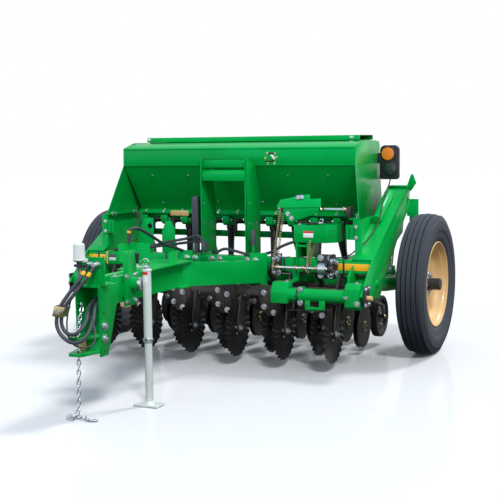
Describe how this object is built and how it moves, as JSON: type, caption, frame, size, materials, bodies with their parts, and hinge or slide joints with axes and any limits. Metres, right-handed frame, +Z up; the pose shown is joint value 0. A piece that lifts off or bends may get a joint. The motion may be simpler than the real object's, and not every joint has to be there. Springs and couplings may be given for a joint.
{
  "type": "pull-type seed drill",
  "caption": "Towed seed drill with a hopper on a mast, wavy coulters and disc openers in two ranks, press wheels, lifting end wheels, sloping end towers, tongue and jack.",
  "frame": {"origin": "on the ground under the middle of the machine, half way along its length and width", "axes": "+Z up, -Y along the direction of travel to the hitch, +X to the right as seen from in front of the hitch with the drill behind it"},
  "size_m": [3.006, 3.4137, 1.702],
  "materials": {
    "green_paint": "gloss paint",
    "charcoal_paint": "satin dark paint",
    "zinc_plate": "bright zinc plate",
    "chrome_rod": "ground and chromed",
    "blade_steel": "black painted steel",
    "tyre_rubber": "matte, ribbed",
    "wheel_rubber": "matte, moulded",
    "hose_rubber": "satin hose cover",
    "rim_paint": "satin cream paint",
    "grey_paint": "satin pale grey",
    "black_plastic": "fine texture",
    "lamp_lens": "clear moulded lens"
  },
  "bodies": {
    "frame": {"front_toolbar": "green_paint", "end_frame_left": "green_paint", "end_frame_right": "green_paint", "opener_bar": "green_paint", "tongue": "green_paint", "hitch": "green_paint", "hose_holder": "green_paint", "seed_box": "green_paint", "end_panel_left": "green_paint", "end_panel_right": "green_paint", "mast": "green_paint", "coulter_gang": "charcoal_paint", "openers": "green_paint", "seed_meters": "black_plastic", "drive_guards": "green_paint", "drive_train": "zinc_plate", "lamp_left": "black_plastic", "lamp_right": "black_plastic", "walkboard": "green_paint", "hose_a": "hose_rubber", "hose_b": "hose_rubber", "light_cable": "black_plastic", "light_plug": "black_plastic", "hose_clamp": "zinc_plate", "safety_chain": "zinc_plate"},
    "lid": {"lid": "green_paint"},
    "jack": {"jack_tube": "grey_paint"},
    "jack_foot": {"jack_leg": "zinc_plate"},
    "arm_left": {"wheel_arm_left": "green_paint"},
    "wheel_left": {"tyre_left": "tyre_rubber", "rim_left": "rim_paint"},
    "barrel_left": {"cylinder_barrel_left": "green_paint"},
    "rod_left": {"cylinder_rod_left": "chrome_rod"},
    "arm_right": {"wheel_arm_right": "green_paint"},
    "wheel_right": {"tyre_right": "tyre_rubber", "rim_right": "rim_paint"},
    "barrel_right": {"cylinder_barrel_right": "green_paint"},
    "rod_right": {"cylinder_rod_right": "chrome_rod"},
    "blade_01": {"coulter_blade_01": "blade_steel"},
    "press_01": {"press_wheel_01": "wheel_rubber"},
    "blade_02": {"coulter_blade_02": "blade_steel"},
    "press_02": {"press_wheel_02": "wheel_rubber"},
    "blade_03": {"coulter_blade_03": "blade_steel"},
    "press_03": {"press_wheel_03": "wheel_rubber"},
    "blade_04": {"coulter_blade_04": "blade_steel"},
    "press_04": {"press_wheel_04": "wheel_rubber"},
    "blade_05": {"coulter_blade_05": "blade_steel"},
    "press_05": {"press_wheel_05": "wheel_rubber"},
    "blade_06": {"coulter_blade_06": "blade_steel"},
    "press_06": {"press_wheel_06": "wheel_rubber"},
    "blade_07": {"coulter_blade_07": "blade_steel"},
    "press_07": {"press_wheel_07": "wheel_rubber"},
    "blade_08": {"coulter_blade_08": "blade_steel"},
    "press_08": {"press_wheel_08": "wheel_rubber"},
    "blade_09": {"coulter_blade_09": "blade_steel"},
    "press_09": {"press_wheel_09": "wheel_rubber"},
    "blade_10": {"coulter_blade_10": "blade_steel"},
    "press_10": {"press_wheel_10": "wheel_rubber"},
    "blade_11": {"coulter_blade_11": "blade_steel"},
    "press_11": {"press_wheel_11": "wheel_rubber"}
  },
  "joints": [
    {"name": "lift_left", "type": "hinge", "parent": "frame", "child": "arm_left", "pos_m": [-1.131, 0.408, 0.625], "axis": [1, 0, 0], "range_deg": [0, 18]},
    {"name": "lift_right", "type": "hinge", "parent": "frame", "child": "arm_right", "pos_m": [1.131, 0.408, 0.625], "axis": [1, 0, 0], "range_deg": [0, 18]},
    {"name": "lid_hinge", "type": "hinge", "parent": "frame", "child": "lid", "pos_m": [0, 0.843, 1.664], "axis": [1, 0, 0], "range_deg": [0, 95]},
    {"name": "jack_swivel", "type": "hinge", "parent": "frame", "child": "jack", "pos_m": [0.152, -1.158, 0.775], "axis": [1, 0, 0], "range_deg": [0, 90]},
    {"name": "jack_crank_lift", "type": "slide", "parent": "jack", "child": "jack_foot", "axis": [0, 0, 1], "range_m": [0, 0.3]},
    {"name": "cylinder_swing_left", "type": "hinge", "parent": "frame", "child": "barrel_left", "pos_m": [-1.131, 1.193, 1.205], "axis": [1, 0, 0], "range_deg": [-12.1, 0]},
    {"name": "cylinder_stroke_left", "type": "slide", "parent": "barrel_left", "child": "rod_left", "axis": [0, -0.3363, -0.9417], "range_m": [-0.148, 0]},
    {"name": "cylinder_swing_right", "type": "hinge", "parent": "frame", "child": "barrel_right", "pos_m": [1.131, 1.193, 1.205], "axis": [1, 0, 0], "range_deg": [-12.1, 0]},
    {"name": "cylinder_stroke_right", "type": "slide", "parent": "barrel_right", "child": "rod_right", "axis": [0, -0.3363, -0.9417], "range_m": [-0.148, 0]},
    {"name": "wheel_spin_left", "type": "hinge", "parent": "arm_left", "child": "wheel_left", "pos_m": [-1.393, 1.101, 0.545], "axis": [1, 0, 0], "continuous": true},
    {"name": "wheel_spin_right", "type": "hinge", "parent": "arm_right", "child": "wheel_right", "pos_m": [1.393, 1.101, 0.545], "axis": [1, 0, 0], "continuous": true},
    {"name": "blade_spin_01", "type": "hinge", "parent": "frame", "child": "blade_01", "pos_m": [-0.9525, 0.193, 0.273], "axis": [1, 0, 0], "continuous": true},
    {"name": "blade_spin_02", "type": "hinge", "parent": "frame", "child": "blade_02", "pos_m": [-0.762, 0.431, 0.273], "axis": [1, 0, 0], "continuous": true},
    {"name": "blade_spin_03", "type": "hinge", "parent": "frame", "child": "blade_03", "pos_m": [-0.5715, 0.193, 0.273], "axis": [1, 0, 0], "continuous": true},
    {"name": "blade_spin_04", "type": "hinge", "parent": "frame", "child": "blade_04", "pos_m": [-0.381, 0.431, 0.273], "axis": [1, 0, 0], "continuous": true},
    {"name": "blade_spin_05", "type": "hinge", "parent": "frame", "child": "blade_05", "pos_m": [-0.1905, 0.193, 0.273], "axis": [1, 0, 0], "continuous": true},
    {"name": "blade_spin_06", "type": "hinge", "parent": "frame", "child": "blade_06", "pos_m": [0, 0.431, 0.273], "axis": [1, 0, 0], "continuous": true},
    {"name": "blade_spin_07", "type": "hinge", "parent": "frame", "child": "blade_07", "pos_m": [0.1905, 0.193, 0.273], "axis": [1, 0, 0], "continuous": true},
    {"name": "blade_spin_08", "type": "hinge", "parent": "frame", "child": "blade_08", "pos_m": [0.381, 0.431, 0.273], "axis": [1, 0, 0], "continuous": true},
    {"name": "blade_spin_09", "type": "hinge", "parent": "frame", "child": "blade_09", "pos_m": [0.5715, 0.193, 0.273], "axis": [1, 0, 0], "continuous": true},
    {"name": "blade_spin_10", "type": "hinge", "parent": "frame", "child": "blade_10", "pos_m": [0.762, 0.431, 0.273], "axis": [1, 0, 0], "continuous": true},
    {"name": "blade_spin_11", "type": "hinge", "parent": "frame", "child": "blade_11", "pos_m": [0.9525, 0.193, 0.273], "axis": [1, 0, 0], "continuous": true},
    {"name": "press_spin_01", "type": "hinge", "parent": "frame", "child": "press_01", "pos_m": [-0.9525, 1.274, 0.24], "axis": [1, 0, 0], "continuous": true},
    {"name": "press_spin_02", "type": "hinge", "parent": "frame", "child": "press_02", "pos_m": [-0.762, 1.44, 0.24], "axis": [1, 0, 0], "continuous": true},
    {"name": "press_spin_03", "type": "hinge", "parent": "frame", "child": "press_03", "pos_m": [-0.5715, 1.274, 0.24], "axis": [1, 0, 0], "continuous": true},
    {"name": "press_spin_04", "type": "hinge", "parent": "frame", "child": "press_04", "pos_m": [-0.381, 1.44, 0.24], "axis": [1, 0, 0], "continuous": true},
    {"name": "press_spin_05", "type": "hinge", "parent": "frame", "child": "press_05", "pos_m": [-0.1905, 1.274, 0.24], "axis": [1, 0, 0], "continuous": true},
    {"name": "press_spin_06", "type": "hinge", "parent": "frame", "child": "press_06", "pos_m": [0, 1.44, 0.24], "axis": [1, 0, 0], "continuous": true},
    {"name": "press_spin_07", "type": "hinge", "parent": "frame", "child": "press_07", "pos_m": [0.1905, 1.274, 0.24], "axis": [1, 0, 0], "continuous": true},
    {"name": "press_spin_08", "type": "hinge", "parent": "frame", "child": "press_08", "pos_m": [0.381, 1.44, 0.24], "axis": [1, 0, 0], "continuous": true},
    {"name": "press_spin_09", "type": "hinge", "parent": "frame", "child": "press_09", "pos_m": [0.5715, 1.274, 0.24], "axis": [1, 0, 0], "continuous": true},
    {"name": "press_spin_10", "type": "hinge", "parent": "frame", "child": "press_10", "pos_m": [0.762, 1.44, 0.24], "axis": [1, 0, 0], "continuous": true},
    {"name": "press_spin_11", "type": "hinge", "parent": "frame", "child": "press_11", "pos_m": [0.9525, 1.274, 0.24], "axis": [1, 0, 0], "continuous": true}
  ],
  "couplings": [
    {"joint": "cylinder_swing_left", "follows": "lift_left", "ratio": -0.66919},
    {"joint": "cylinder_stroke_left", "follows": "lift_left", "m_per_rad": -0.47038},
    {"joint": "cylinder_swing_right", "follows": "lift_right", "ratio": -0.66919},
    {"joint": "cylinder_stroke_right", "follows": "lift_right", "m_per_rad": -0.47038}
  ]
}
